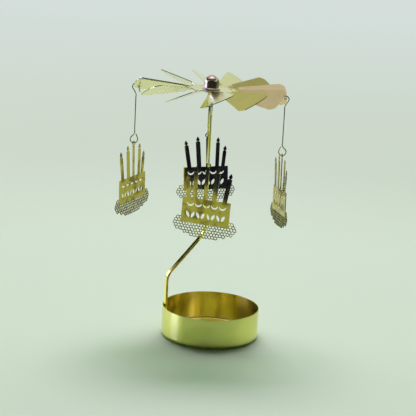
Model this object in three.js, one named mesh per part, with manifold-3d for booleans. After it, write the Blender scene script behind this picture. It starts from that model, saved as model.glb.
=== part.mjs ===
// Rotating tealight holder in thin polished brass. A round cup holds the tealight. A creased
// stem rises from the cup's wall to a point, a fan of twisted blades turns on that point, and
// four cut-out pendants hang from the fan on wire hangers.
//
// Millimetres and degrees, +Z up. The origin is the centre of the cup's underside, and the
// stem's root is on the -X side of the cup.

import * as THREE from 'three';
import { mergeGeometries, mergeVertices } from 'three/addons/utils/BufferGeometryUtils.js';
import Module from 'manifold-3d';

const wasm = await Module();
wasm.setup();

// Cup
const cupDiameter = 41.5;
const cupHeight = 12.9;
const cupCornerRadius = 1.8;
const cupSheet = 0.35;
const cupSides = 48;
const cupCornerSteps = 4;

// Stem: one strip with a crease pressed along its middle, cranked towards the spin axis
const stemSheet = 0.3;
const stemWidth = 1.6;
const creaseDepth = 0.8;
const stemTipWidth = 0.4;
const stemTaper = 10;
const crankStart = 25.6;
const crankEnd = 45.2;
const crankFacetRun = 1.05;
const crankFacetRise = 2.7;
const footTabWidth = 2.4;
const footTabHeight = 8.4;
const footTabRise = 2.2;
const weldGap = 0.1;

// Pivot: the stem's point, off the cup's axis, and the lean of the balanced fan
const pivotOffset = 4.3;
const pivotHeight = 111.9;
const pivotGap = 0.3;
const fanLean = 2.3;

// Fan: a flat hub with twisted blades, in one sheet. The blades lie a little ahead of the hook
// holes' directions, and one of them is twisted less than the rest.
const fanSheet = 0.3;
const fanRadius = 31.7;
const fanDrop = 5.3;
const hubRadius = 8.6;
const bladeCount = 12;
const bladeLead = 4.2;
const bladeTwist = 26.5;
const flatterTwist = 10;
const flatterBlade = 5;
const bladeRootWidth = 3.5;
const bladeTipWidth = 14.3;
const bladeCornerRadius = 2.8;
const bladeRootOverlap = 1;
const twistLength = 3.6;
const hookHoleRadius = 0.9;
const hookWeb = 1.1;
const hookHoleSides = 10;

// Cap on the pivot, its neck through the hub, and the eyelet that clinches it below
const capSheet = 0.35;
const capDiameter = 6.3;
const capFlangeDiameter = 7.6;
const capNeckDiameter = 5.2;
const capNeckLength = 1.3;
const eyeletDiameter = 7.8;
const eyeletThickness = 0.6;
const eyeletBevel = 0.3;
const seatGap = 0.1;
const capSides = 24;

// Wire hangers
const wireDiameter = 0.5;
const hookRadius = 1.4;
const hookEndIn = 1.8;
const hookEndDrop = 2.3;
const hookNeckDrop = 3.1;
const hookGap = 0.3;
const eyeRadius = 1.55;
const eyeNeckRise = 2.6;
const eyeEndRise = 2.3;
const shankIn = 0.15;
const hangDrop = 24.5;
const ringSlack = 0.155;
const hookFrom = 195;
const hookTo = -15;
const eyeFrom = 25;
const eyeTo = -200;
const wireSides = 6;
const hangerSteps = 42;

// Pendants: a slab with five candles, over a pierced oval edging, in one sheet. The ring is off
// the middle, so each pendant hangs with its heavier side lower by the lean.
const pendantSheet = 0.3;
const slabWidth = 19.8;
const slabHeight = 10.2;
const slabShift = 0.8;
const pendantLean = 2.9;
const ringDrop = 14.04;
const ringRadius = 1.05;
const ringHoleRadius = 0.62;
const ringSides = 12;
const candleWidth = 1.85;
const flameWidth = 1.3;
const flameLength = 2.3;
const flameNeck = 0.5;
const flameBellyShare = 0.4;
const laceLength = 26.8;
const laceHeight = 10.6;
const laceDrop = 0.7;
const laceScallop = 0.3;
const lacePitch = 1.42;
const laceHoleRadius = 0.5;
const laceHoleSides = 4;
const laceMargin = 0.85;
const lacePoints = 48;
const swagWidth = 2.9;
const swagDrop = 1.5;
const swagThickness = 0.75;
const leafLength = 2.9;
const leafWidth = 1.15;

// Cuts run past the faces that they open by this much
const overrun = 0.5;

// Candles from left to right: place on the slab and height to the flame's tip, as shares of the
// slab's width and of the ring's drop, share of the candle width, and lean in degrees
const candleShares = [
  { place: -0.37, height: 0.866, width: 1, lean: 7.5 },
  { place: -0.15, height: 0.975, width: 1.08, lean: 2.5 },
  { place: 0.253, height: 0.926, width: 0.92, lean: -2.5 },
  { place: 0.386, height: 0.655, width: 0.87, lean: -7 },
];
const ringCandleWidthShare = 0.7;
const swagCount = 5;
const swagRowShare = 0.2;
const leafCount = 8;
const leafRowShare = 0.68;
const leafLean = 24;
const patternSpanShare = 0.84;

// The four hangers, by the direction in which their blades point at rest, and the angle by which
// each pendant has turned on its hanger from square across that direction
const hangers = [
  { name: 'right', azimuth: 0, turn: 12 },
  { name: 'back', azimuth: 90, turn: 10 },
  { name: 'left', azimuth: 180, turn: -30 },
  { name: 'front', azimuth: 270, turn: -14 },
];

const brass = new THREE.MeshStandardMaterial({ color: 0xc9b458, roughness: 0.2, metalness: 1 });
const paleBrass = new THREE.MeshStandardMaterial({ color: 0xcfc878, roughness: 0.22, metalness: 1 });
const darkBrass = new THREE.MeshStandardMaterial({ color: 0x8f7f3a, roughness: 0.2, metalness: 1 });
const capBrass = new THREE.MeshStandardMaterial({ color: 0xa88d62, roughness: 0.08, metalness: 1 });
const wireBrass = new THREE.MeshStandardMaterial({ color: 0x7d7b45, roughness: 0.3, metalness: 1 });

const radians = THREE.MathUtils.degToRad;

// Closed geometry to a manifold solid, with shared vertices merged and slivers at poles dropped
function toSolid(geometry) {
  const bare = geometry.clone();
  bare.deleteAttribute('normal');
  bare.deleteAttribute('uv');
  const merged = mergeVertices(bare);
  const triangles = [];
  for (let i = 0; i < merged.index.count; i += 3) {
    const [a, b, c] = merged.index.array.slice(i, i + 3);
    if (a !== b && b !== c && c !== a) triangles.push(a, b, c);
  }
  const mesh = new wasm.Mesh({
    numProp: 3,
    vertProperties: new Float32Array(merged.attributes.position.array),
    triVerts: new Uint32Array(triangles),
  });
  return new wasm.Manifold(mesh);
}

function toGeometry(solid) {
  const { vertProperties, triVerts } = solid.getMesh();
  return indexedGeometry(vertProperties, triVerts);
}

function indexedGeometry(positions, indices) {
  const geometry = new THREE.BufferGeometry();
  geometry.setAttribute('position', new THREE.BufferAttribute(new Float32Array(positions), 3));
  geometry.setIndex(Array.from(indices));
  return geometry;
}

// A loft through rings of points that all have the same count, with faces that close both ends.
// Each end face is given as fans of corner numbers, seen from outside the far end.
function loft(rings, endFaces) {
  const count = rings[0].length;
  const positions = rings.flat().flatMap((point) => point.toArray());
  const indices = [];
  for (let ring = 0; ring + 1 < rings.length; ring += 1) {
    for (let side = 0; side < count; side += 1) {
      const a = ring * count + side;
      const b = ring * count + ((side + 1) % count);
      indices.push(a, b, b + count, a, b + count, a + count);
    }
  }
  const last = (rings.length - 1) * count;
  for (const face of endFaces) {
    for (let i = 1; i + 1 < face.length; i += 1) {
      indices.push(last + face[0], last + face[i], last + face[i + 1]);
      indices.push(face[0], face[i + 1], face[i]);
    }
  }
  return indexedGeometry(positions, indices);
}

// A solid turned about Z from [radius, height] points that run anticlockwise
function turned(profile, sides, startAngle = 0) {
  const points = profile.map(([radius, height]) => new THREE.Vector2(radius, height));
  return new THREE.LatheGeometry(points, sides, startAngle).rotateX(Math.PI / 2);
}

// Points along an arc of a circle in a plane, angles in degrees
function arc(centreX, centreY, radius, from, to, steps) {
  return Array.from({ length: steps + 1 }, (_, i) => {
    const angle = radians(from + ((to - from) * i) / steps);
    return [centreX + radius * Math.cos(angle), centreY + radius * Math.sin(angle)];
  });
}

// Corners of a regular polygon around the origin
function ngon(radius, corners) {
  return arc(0, 0, radius, 0, 360 - 360 / corners, corners - 1);
}

function asShape(outline) {
  return new THREE.Shape(outline.map(([x, y]) => new THREE.Vector2(x, y)));
}

// Flat sheet cut to an outline in X and Y, centred on its thickness
function cutSheet(outline, thickness) {
  const settings = { depth: thickness, bevelEnabled: false };
  return new THREE.ExtrudeGeometry(asShape(outline), settings).translate(0, 0, -thickness / 2);
}

// Cup: drawn shell with a rounded bottom corner
const cupRadius = cupDiameter / 2;
const cupInnerRadius = cupRadius - cupSheet;
const cupInnerFlat = cupInnerRadius * Math.cos(Math.PI / cupSides);

function cupGeometry() {
  const innerCorner = cupCornerRadius - cupSheet;
  const centre = cupRadius - cupCornerRadius;
  const outer = arc(centre, cupCornerRadius, cupCornerRadius, -90, 0, cupCornerSteps);
  const inner = arc(centre, cupCornerRadius, innerCorner, 0, -90, cupCornerSteps);
  const profile = [[0, 0], ...outer, [cupRadius, cupHeight], [cupInnerRadius, cupHeight]];
  profile.push(...inner, [0, cupSheet]);
  return turned(profile, cupSides, Math.PI / cupSides);
}

// Stem: the creased strip follows its crank in the XZ plane, with the crease's ridge towards -Y
function stemGeometry() {
  const footX = -(cupInnerFlat - weldGap - (stemSheet + stemWidth) / 2);
  const footZ = cupSheet + footTabRise;
  const half = stemWidth / 2;
  const path = [
    { x: footX, z: footZ, half },
    { x: footX, z: crankStart, half },
    { x: footX + crankFacetRun, z: crankStart + crankFacetRise, half },
    { x: -pivotOffset - crankFacetRun, z: crankEnd - crankFacetRise, half },
    { x: -pivotOffset, z: crankEnd, half },
    { x: -pivotOffset, z: pivotHeight - stemTaper, half },
    { x: -pivotOffset, z: pivotHeight, half: stemTipWidth / 2 },
  ];
  const rings = path.map((_, i) => creasedRing(path, i));
  const strip = toSolid(loft(rings, [[0, 1, 4, 5], [1, 2, 3, 4]]));
  const tab = new THREE.BoxGeometry(stemSheet, footTabWidth, footTabHeight);
  tab.translate(-(cupInnerFlat - weldGap - stemSheet / 2), 0, footZ + footTabHeight / 2);
  return toGeometry(strip.add(toSolid(tab)));
}

// The strip's section at one point of its path, mitred between the stretches that meet there
function creasedRing(path, i) {
  const here = path[i];
  const back = path[Math.max(i - 1, 0)];
  const ahead = path[Math.min(i + 1, path.length - 1)];
  const inDirection = new THREE.Vector2(here.x - back.x, here.z - back.z).normalize();
  const outDirection = new THREE.Vector2(ahead.x - here.x, ahead.z - here.z).normalize();
  if (i === 0) inDirection.copy(outDirection);
  if (i === path.length - 1) outDirection.copy(inDirection);
  const along = inDirection.clone().add(outDirection).normalize();
  const reach = here.half / along.dot(inDirection);
  const across = new THREE.Vector3(along.y * reach, 0, -along.x * reach);
  const depth = (creaseDepth * here.half * 2) / stemWidth;
  const thickness = stemSheet * Math.hypot(1, creaseDepth / (stemWidth / 2));
  const front = -thickness / 2;
  const corner = (side, y) => new THREE.Vector3(here.x, y, here.z).addScaledVector(across, side);
  return [
    corner(-1, front), corner(0, front - depth), corner(1, front),
    corner(1, -front), corner(0, -front - depth), corner(-1, -front),
  ];
}

// Fan, in the frame of the pivot: its hub is a flat ring, and each blade a flat sector whose
// outer part is twisted about its own middle line
const neckRadius = capNeckDiameter / 2;

// The hook holes leave a web of sheet at the blades' ends. They lie behind the blades' middle
// lines, so they are lower by the twist.
const hookHolePlace = fanRadius - hookWeb - hookHoleRadius;
const holeFall = hookHolePlace * Math.sin(radians(bladeLead)) * Math.tan(radians(bladeTwist));
const hookHoleLevel = -fanDrop - holeFall;

function hubGeometry() {
  const boreRadius = neckRadius + seatGap;
  const top = -fanDrop + fanSheet / 2;
  const bottom = -fanDrop - fanSheet / 2;
  const profile = [[boreRadius, bottom], [hubRadius, bottom], [hubRadius, top], [boreRadius, top]];
  return turned([...profile, profile[0]], bladeCount * 4);
}

function bladeGeometry(fullTwist) {
  const tipHalf = bladeTipWidth / 2;
  const flatHalf = tipHalf - bladeCornerRadius;
  const tipEdge = Math.sqrt(fanRadius ** 2 - flatHalf ** 2);
  const cornerStart = tipEdge - bladeCornerRadius;
  const rootStart = hubRadius - bladeRootOverlap;
  const halfAt = (place) => {
    const share = (place - hubRadius) / (cornerStart - hubRadius);
    return (bladeRootWidth / 2) * (1 - share) + tipHalf * share;
  };
  const rows = [{ place: rootStart, half: halfAt(rootStart), twist: 0 }];
  for (const share of [0, 1 / 3, 2 / 3, 1]) {
    const place = hubRadius + twistLength * share;
    rows.push({ place, half: halfAt(place), twist: fullTwist * share });
  }
  for (const [place, half] of arc(cornerStart, flatHalf, bladeCornerRadius, 90, 0, 4)) {
    rows.push({ place, half, twist: fullTwist });
  }
  const rings = rows.map(({ place, half, twist }) => bladeRing(place, half, twist, tipEdge));
  return loft(rings, [[0, 1, 4, 5], [1, 2, 3, 4]]);
}

function bladeRing(place, half, twist, tipEdge) {
  const angle = radians(twist);
  const bulge = place < tipEdge ? 0 : fanRadius - tipEdge;
  const corner = (side, lift) => {
    const across = side * half;
    const y = across * Math.cos(angle) - lift * Math.sin(angle);
    const z = across * Math.sin(angle) + lift * Math.cos(angle) - fanDrop;
    return new THREE.Vector3(place + (side === 0 ? bulge : 0), y, z);
  };
  const lift = fanSheet / 2;
  const underside = [-1, 0, 1].map((side) => corner(side, -lift));
  const topside = [1, 0, -1].map((side) => corner(side, lift));
  return [...underside, ...topside];
}

function fanGeometry() {
  let fan = toSolid(hubGeometry());
  for (let blade = 0; blade < bladeCount; blade += 1) {
    const azimuth = radians(bladeLead) + (2 * Math.PI * blade) / bladeCount;
    const twist = blade === flatterBlade ? flatterTwist : bladeTwist;
    fan = fan.add(toSolid(bladeGeometry(twist).rotateZ(azimuth)));
  }
  const cutLength = 2 * (hookHoleRadius + overrun);
  for (const { azimuth } of hangers) {
    const cut = new THREE.CylinderGeometry(
      hookHoleRadius, hookHoleRadius, cutLength, hookHoleSides,
    );
    cut.rotateX(Math.PI / 2).translate(hookHolePlace, 0, hookHoleLevel).rotateZ(radians(azimuth));
    fan = fan.subtract(toSolid(cut));
  }
  return toGeometry(fan);
}

// Cap, in the frame of the pivot: a hollow dome whose crown bears on the stem's point, with a
// flange on the hub and a neck through the hub's bore
function capGeometry() {
  const radius = capDiameter / 2;
  const crown = pivotGap + capSheet;
  const springing = crown - radius;
  const flangeBottom = -fanDrop + fanSheet / 2 + seatGap;
  const flangeTop = flangeBottom + capSheet;
  const neckBottom = flangeBottom - capNeckLength;
  const neckInner = neckRadius - capSheet;
  return turned([
    ...arc(0, springing, radius - capSheet, 90, 0, 5),
    [radius - capSheet, flangeTop],
    [neckInner, flangeTop],
    [neckInner, neckBottom],
    [neckRadius, neckBottom],
    [neckRadius, flangeBottom],
    [capFlangeDiameter / 2, flangeBottom],
    [capFlangeDiameter / 2, flangeTop],
    [radius, flangeTop],
    ...arc(0, springing, radius, 0, 90, 6),
  ], capSides);
}

function eyeletGeometry() {
  const bore = neckRadius + seatGap;
  const radius = eyeletDiameter / 2;
  const top = -fanDrop - fanSheet / 2 - seatGap;
  const bottom = top - eyeletThickness;
  const profile = [[bore, bottom], [radius - eyeletBevel, bottom], [radius, bottom + eyeletBevel]];
  return turned([...profile, [radius, top], [bore, top], profile[0]], capSides);
}

// Hanger, in the frame of its hook hole with X outwards: a hook over the blade's edge, a shank,
// and an open eye for the pendant's ring
const hookCentreX = hookRadius;
const bladeTop = fanSheet / 2 / Math.cos(radians(bladeTwist));
const webHalf = hookWeb / 2;
const hookInner = hookRadius - wireDiameter / 2;
const hookCentreZ = bladeTop + hookGap - Math.sqrt(hookInner ** 2 - webHalf ** 2);
const eyeCentreZ = -hangDrop + ringSlack + eyeRadius;

// A path that takes its steps where its points are, closer in the bends than along the shank
class PacedPath extends THREE.CatmullRomCurve3 {
  getUtoTmapping(u) {
    return u;
  }
}

function hangerGeometry() {
  const shankX = hookCentreX - shankIn;
  const neckZ = hookCentreZ - hookNeckDrop;
  const eyeNeckZ = eyeCentreZ + eyeNeckRise;
  const route = [
    [hookCentreX - hookEndIn, hookCentreZ - hookEndDrop],
    ...arc(hookCentreX, hookCentreZ, hookRadius, hookFrom, hookTo, 8),
    [shankX, neckZ],
    [shankX, neckZ - hookRadius],
    [shankX, (neckZ + eyeNeckZ) / 2],
    [shankX, eyeNeckZ + hookRadius],
    [shankX, eyeNeckZ],
    ...arc(hookCentreX, eyeCentreZ, eyeRadius, eyeFrom, eyeTo, 9),
    [hookCentreX - eyeRadius / 2, eyeCentreZ + eyeEndRise],
  ];
  const stops = route.map(([x, z]) => new THREE.Vector3(x, 0, z));
  const extrudePath = new PacedPath(stops, false, 'centripetal');
  const section = asShape(ngon(wireDiameter / 2, wireSides));
  const settings = { steps: hangerSteps, extrudePath, bevelEnabled: false };
  return new THREE.ExtrudeGeometry(section, settings);
}

// Pendant, drawn in X and Y from its ring's centre and then stood up with its face towards -Y
const slabTop = -ringDrop;
const slabBottom = slabTop - slabHeight;
const laceMiddle = slabBottom - laceDrop;

function candleOutline(width, height) {
  const shoulder = height - flameLength;
  const belly = shoulder + flameLength * flameBellyShare;
  return [
    [-width / 2, -overrun], [width / 2, -overrun], [width / 2, shoulder], [flameNeck / 2, shoulder],
    [flameWidth / 2, belly], [0, height],
    [-flameWidth / 2, belly], [-flameNeck / 2, shoulder], [-width / 2, shoulder],
  ];
}

function laceOutline() {
  return Array.from({ length: lacePoints }, (_, i) => {
    const angle = (2 * Math.PI * i) / lacePoints;
    const inset = i % 2 === 0 ? 0 : laceScallop;
    const x = (laceLength / 2 - inset) * Math.cos(angle) - slabShift;
    return [x, laceMiddle + (laceHeight / 2 - inset) * Math.sin(angle)];
  });
}

// Holes of the edging: a staggered grid, kept off the oval's edge and off the slab
function laceHoles() {
  const rowPitch = lacePitch * Math.sin(Math.PI / 3);
  const lastRow = Math.ceil(laceHeight / 2 / rowPitch);
  const lastColumn = Math.ceil(laceLength / 2 / lacePitch);
  const halfLength = laceLength / 2 - laceMargin;
  const halfHeight = laceHeight / 2 - laceMargin;
  const places = [];
  for (let row = -lastRow; row <= lastRow; row += 1) {
    for (let column = -lastColumn; column <= lastColumn; column += 1) {
      const x = (column + (row % 2 === 0 ? 0 : 1 / 2)) * lacePitch;
      const y = row * rowPitch;
      const inOval = Math.hypot(x / halfLength, y / halfHeight) < 1;
      const offSlab = y < laceDrop - laceMargin || Math.abs(x) > slabWidth / 2 + laceMargin;
      if (inOval && offSlab) places.push([x - slabShift, laceMiddle + y]);
    }
  }
  return places;
}

// A hanging crescent of the upper row
function swagOutline() {
  const half = swagWidth / 2;
  const lower = arc(0, 0, 1, 180, 360, 5).map(([x, y]) => [x * half, y * swagDrop]);
  const upper = arc(0, 0, 1, 330, 210, 3);
  return [...lower, ...upper.map(([x, y]) => [x * half, y * swagDrop + swagThickness])];
}

// A pointed leaf of the lower row
function leafOutline() {
  const [x, y] = [leafWidth / 2, leafLength / 2];
  return [[0, -y], [x, -y / 3], [x, y / 3], [0, y], [-x, y / 3], [-x, -y / 3]];
}

function slabCutters() {
  const thickness = pendantSheet + 2 * overrun;
  const span = slabWidth * patternSpanShare;
  const cutters = [];
  for (let i = 0; i < swagCount; i += 1) {
    const x = span * ((i + 1 / 2) / swagCount - 1 / 2) - slabShift;
    const y = slabTop - slabHeight * swagRowShare;
    cutters.push(cutSheet(swagOutline(), thickness).translate(x, y, 0));
  }
  for (let i = 0; i < leafCount; i += 1) {
    const x = span * ((i + 1 / 2) / leafCount - 1 / 2) - slabShift;
    const y = slabTop - slabHeight * leafRowShare;
    const lean = i % 2 === 0 ? leafLean : -leafLean;
    cutters.push(cutSheet(leafOutline(), thickness).rotateZ(radians(lean)).translate(x, y, 0));
  }
  for (const [x, y] of laceHoles()) {
    cutters.push(cutSheet(ngon(laceHoleRadius, laceHoleSides), thickness).translate(x, y, 0));
  }
  return mergeGeometries(cutters);
}

function pendantGeometry() {
  const left = -slabShift - slabWidth / 2;
  const right = left + slabWidth;
  const corners = [[left, slabBottom], [right, slabBottom], [right, slabTop], [left, slabTop]];
  let pendant = toSolid(cutSheet(corners, pendantSheet));
  for (const { place, height, width, lean } of candleShares) {
    const candle = cutSheet(candleOutline(candleWidth * width, ringDrop * height), pendantSheet);
    candle.rotateZ(radians(lean)).translate(slabWidth * place - slabShift, slabTop, 0);
    pendant = pendant.add(toSolid(candle));
  }
  const middle = (candleWidth * ringCandleWidthShare) / 2;
  const post = [[-middle, slabTop - overrun], [middle, slabTop - overrun], [middle, 0], [-middle, 0]];
  pendant = pendant.add(toSolid(cutSheet(post, pendantSheet)));
  pendant = pendant.add(toSolid(cutSheet(ngon(ringRadius, ringSides), pendantSheet)));
  pendant = pendant.add(toSolid(cutSheet(laceOutline(), pendantSheet)));
  const ringHole = cutSheet(ngon(ringHoleRadius, ringSides), pendantSheet + 2 * overrun);
  pendant = pendant.subtract(toSolid(ringHole)).subtract(toSolid(slabCutters()));
  return toGeometry(pendant).rotateZ(radians(pendantLean)).rotateX(Math.PI / 2);
}

function piece(name, geometry, material) {
  const flat = geometry.index ? geometry.toNonIndexed() : geometry;
  flat.computeVertexNormals();
  const mesh = new THREE.Mesh(flat, material);
  mesh.name = name;
  return mesh;
}

const holder = new THREE.Group();
holder.add(piece('cup', cupGeometry(), paleBrass));
holder.add(piece('stem', stemGeometry(), brass));

// The fan, its cap and its eyelet lean together on the pivot
const rotor = new THREE.Group();
rotor.position.set(-pivotOffset, 0, pivotHeight);
rotor.rotation.y = radians(fanLean);
rotor.add(piece('fan', fanGeometry(), paleBrass));
rotor.add(piece('pivot_cap', capGeometry(), capBrass));
rotor.add(piece('cap_eyelet', eyeletGeometry(), capBrass));
holder.add(rotor);
rotor.updateMatrixWorld(true);

// Each hanger hangs plumb from its hook hole, and its pendant hangs in the hanger's eye
const upwards = new THREE.Vector3(0, 0, 1);
const hanger = hangerGeometry();
const pendant = pendantGeometry();
for (const { name, azimuth, turn } of hangers) {
  const angle = radians(azimuth);
  const hole = new THREE.Vector3(hookHolePlace, 0, hookHoleLevel);
  hole.applyAxisAngle(upwards, angle);
  const hung = new THREE.Group();
  hung.position.copy(rotor.localToWorld(hole));
  hung.rotation.z = angle;
  hung.add(piece(`hanger_${name}`, hanger, wireBrass));
  const charm = piece(`pendant_${name}`, pendant, darkBrass);
  charm.position.set(hookCentreX, 0, -hangDrop);
  charm.rotation.z = radians(turn - 90);
  hung.add(charm);
  holder.add(hung);
}

export default holder;
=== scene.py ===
import math
import random
from math import radians

import bmesh
import bpy
from mathutils import Matrix, Vector


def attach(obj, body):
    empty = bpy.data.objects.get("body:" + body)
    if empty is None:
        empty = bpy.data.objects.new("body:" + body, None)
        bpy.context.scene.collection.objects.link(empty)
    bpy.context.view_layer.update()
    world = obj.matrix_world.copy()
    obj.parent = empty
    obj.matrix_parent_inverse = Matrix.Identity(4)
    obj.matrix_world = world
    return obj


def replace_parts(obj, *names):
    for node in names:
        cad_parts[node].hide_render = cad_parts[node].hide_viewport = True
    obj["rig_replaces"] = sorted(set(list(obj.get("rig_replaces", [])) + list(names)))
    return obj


# Looks of the rotary tealight holder. The object's sizes are in millimetres and degrees, in the
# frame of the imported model, and become metres where a mesh or a matrix is made. The stage at the
# end of the file is in metres.

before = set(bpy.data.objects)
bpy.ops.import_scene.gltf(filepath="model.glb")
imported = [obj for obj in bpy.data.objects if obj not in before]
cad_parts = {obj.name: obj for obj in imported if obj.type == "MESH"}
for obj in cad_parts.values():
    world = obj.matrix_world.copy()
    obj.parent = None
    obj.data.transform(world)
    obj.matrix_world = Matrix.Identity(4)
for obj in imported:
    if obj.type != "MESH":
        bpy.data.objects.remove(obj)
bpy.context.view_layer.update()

MM = 0.001

# Cup
CUP_RADIUS = 20.75
CUP_HEIGHT = 12.9
CUP_CORNER = 1.8
CUP_SHEET = 0.35
CUP_RIM_ROUND = 0.12
CUP_SIDES = 192
CUP_CREASE = 40

# Stem
STEM_SHEET = 0.3
STEM_WIDTH = 1.6
STEM_CREASE = 0.8
STEM_TIP_WIDTH = 0.4
STEM_TAPER = 10.0
STEM_FOOT_X = -19.356
STEM_FOOT_Z = 2.55
STEM_TAB_X = -20.106
STEM_TAB_WIDTH = 2.4
STEM_TAB_HEIGHT = 8.4
STEM_TAB_CORNER = 0.4
STEM_RIDGE = 0.12
STEM_SMOOTH = 12
CRANK_START = 25.6
CRANK_END = 45.2
CRANK_BEND = 2.6
CRANK_STEPS = 12
STEM_RINGS = (12.0, 30.0)

# Pivot and fan
PIVOT = (-4.3, 0.0, 111.9)
FAN_LEAN = 2.3
FAN_SHEET = 0.3
FAN_RADIUS = 31.7
FAN_DROP = 5.3
HUB_RADIUS = 8.6
BLADES = 12
BLADE_LEAD = 4.2
BLADE_TWIST = 26.5
FLAT_BLADE = 5
FLAT_TWIST = 10.0
BLADE_ROOT = 3.5
BLADE_TIP = 14.3
BLADE_CORNER = 2.8
BLADE_OVERLAP = 1.0
TWIST_LENGTH = 3.6
TWIST_STEPS = 10
BLADE_STEPS = 6
BLADE_COLUMNS = 8
FAN_SIDES = 144
FAN_CREASE = 30
HOLE_RADIUS = 0.9
HOOK_WEB = 1.1
HOLE_PLACE = FAN_RADIUS - HOOK_WEB - HOLE_RADIUS
HOLE_CUT = 4.0

# Cap and eyelet
CAP_SHEET = 0.35
CAP_RADIUS = 3.15
CAP_FLANGE_RADIUS = 3.8
CAP_NECK_RADIUS = 2.6
CAP_NECK_LENGTH = 1.3
CAP_FILLET = 0.25
CAP_SIDES = 96
CAP_CREASE = 40
EYELET_RADIUS = 3.9
EYELET_THICKNESS = 0.6
EYELET_ROUND = 0.3
EYELET_BEVEL = 0.15
SEAT_GAP = 0.1
PIVOT_GAP = 0.3

# Hangers
WIRE_RADIUS = 0.25
WIRE_SIDES = 12
WIRE_CREASE = 50
# Rings of the wire's rounded end: share of the radius, and how far past the end
WIRE_END = [(1.0, -0.12), (0.75, -0.03), (0.35, 0.0)]
HOOK_RADIUS = 1.4
HOOK_END_IN = 1.8
HOOK_END_DROP = 2.3
HOOK_NECK_DROP = 3.1
HOOK_GAP = 0.3
EYE_RADIUS = 1.55
EYE_NECK_RISE = 2.6
EYE_END_RISE = 2.3
SHANK_IN = 0.15
HANG_DROP = 24.5
RING_SLACK = 0.155
# Azimuth of the hook hole, and turn of the pendant about its hanger
HANGERS = {
    "right": (0, 12),
    "back": (90, 10),
    "left": (180, -30),
    "front": (270, -14),
}

# Pendants
PENDANT_SHEET = 0.3
SLAB_WIDTH = 19.8
SLAB_HEIGHT = 10.2
SLAB_SHIFT = 0.8
PENDANT_LEAN = 2.9
RING_DROP = 14.04
RING_RADIUS = 1.05
RING_HOLE = 0.62
CANDLE_WIDTH = 1.85
FLAME_WIDTH = 1.3
FLAME_LENGTH = 2.3
FLAME_NECK = 0.7
LACE_LENGTH = 26.8
LACE_HEIGHT = 10.6
LACE_DROP = 0.7
LACE_PITCH = 1.24
LACE_STRAND = 0.3
LACE_UNEVEN = 0.18
LACE_MARGIN = 0.3
CUT_SPAN = 0.84
CUT_DEPTH = 1.5
SWAGS = 5
SWAG_LEVEL = 0.2
SWAG_HALF = 1.45
SWAG_DROP = 1.5
SWAG_THICKNESS = 0.75
LEAVES = 8
LEAF_LEVEL = 0.68
LEAF_HALF = 0.6
LEAF_LENGTH = 2.9
LEAF_LEAN = 24
# Place, height and width as shares, and lean in degrees
CANDLES = [(-0.37, 0.866, 1.0, 7.5), (-0.15, 0.975, 1.08, 2.5), (0.253, 0.926, 0.92, -2.5),
           (0.386, 0.655, 0.87, -7.0)]


def arc(cx, cy, radius, start, end, steps):
    """Points along an arc of a circle."""
    angles = [radians(start + (end - start) * i / steps) for i in range(steps + 1)]
    return [(cx + radius * math.cos(a), cy + radius * math.sin(a)) for a in angles]


def new_object(name, vertices, faces, smooth_angle=None):
    """A mesh object from points in millimetres, with its faces turned outwards."""
    mesh = bpy.data.meshes.new(name)
    mesh.from_pydata([tuple(c * MM for c in v) for v in vertices], [], faces)
    mesh.validate()
    fix = bmesh.new()
    fix.from_mesh(mesh)
    bmesh.ops.recalc_face_normals(fix, faces=fix.faces)
    fix.to_mesh(mesh)
    fix.free()
    obj = bpy.data.objects.new(name, mesh)
    bpy.context.scene.collection.objects.link(obj)
    if smooth_angle is not None:
        smooth(obj, smooth_angle)
    return obj


def smooth(obj, angle):
    """Smooth shading, with edges sharper than the angle left sharp."""
    mesh = obj.data
    mesh.polygons.foreach_set("use_smooth", [True] * len(mesh.polygons))
    fix = bmesh.new()
    fix.from_mesh(mesh)
    for edge in fix.edges:
        edge.smooth = len(edge.link_faces) == 2 and edge.calc_face_angle(0) < radians(angle)
    fix.to_mesh(mesh)
    fix.free()


def from_rings(name, rings, smooth_angle):
    """A tube of quads through rings of equal counts, closed at both ends."""
    count = len(rings[0])
    vertices = [p for ring in rings for p in ring]
    faces = []
    for r in range(len(rings) - 1):
        for s in range(count):
            a, b = r * count + s, r * count + (s + 1) % count
            faces.append((a, b, b + count, a + count))
    last = (len(rings) - 1) * count
    faces.append(tuple(range(count)))
    faces.append(tuple(last + i for i in range(count)))
    return new_object(name, vertices, faces, smooth_angle)


def turned(name, profile, sides, smooth_angle, closed):
    """A solid turned about Z from (radius, height) points. Points on the axis become poles."""
    vertices, rows = [], []
    for radius, height in profile:
        if radius < 1e-6:
            rows.append([len(vertices)] * sides)
            vertices.append((0.0, 0.0, height))
            continue
        rows.append(list(range(len(vertices), len(vertices) + sides)))
        for i in range(sides):
            a = 2 * math.pi * i / sides
            vertices.append((radius * math.cos(a), radius * math.sin(a), height))
    pairs = list(zip(rows, rows[1:]))
    if closed:
        pairs.append((rows[-1], rows[0]))
    faces = []
    for low, high in pairs:
        for i in range(sides):
            j = (i + 1) % sides
            face = [low[i], low[j], high[j], high[i]]
            face = list(dict.fromkeys(face))
            if len(face) > 2:
                faces.append(tuple(face))
    return new_object(name, vertices, faces, smooth_angle)


def prism(outline, thickness):
    """Vertices and faces of a flat sheet with this outline, centred on z 0."""
    count = len(outline)
    vertices = [(x, y, z) for z in (-thickness / 2, thickness / 2) for x, y in outline]
    faces = [tuple(reversed(range(count))), tuple(range(count, 2 * count))]
    for i in range(count):
        j = (i + 1) % count
        faces.append((i, j, j + count, i + count))
    return vertices, faces


def merged(parts):
    """One list of vertices and one of faces from several of each."""
    vertices, faces = [], []
    for vs, fs in parts:
        base = len(vertices)
        vertices.extend(vs)
        faces.extend(tuple(base + i for i in f) for f in fs)
    return vertices, faces


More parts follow.
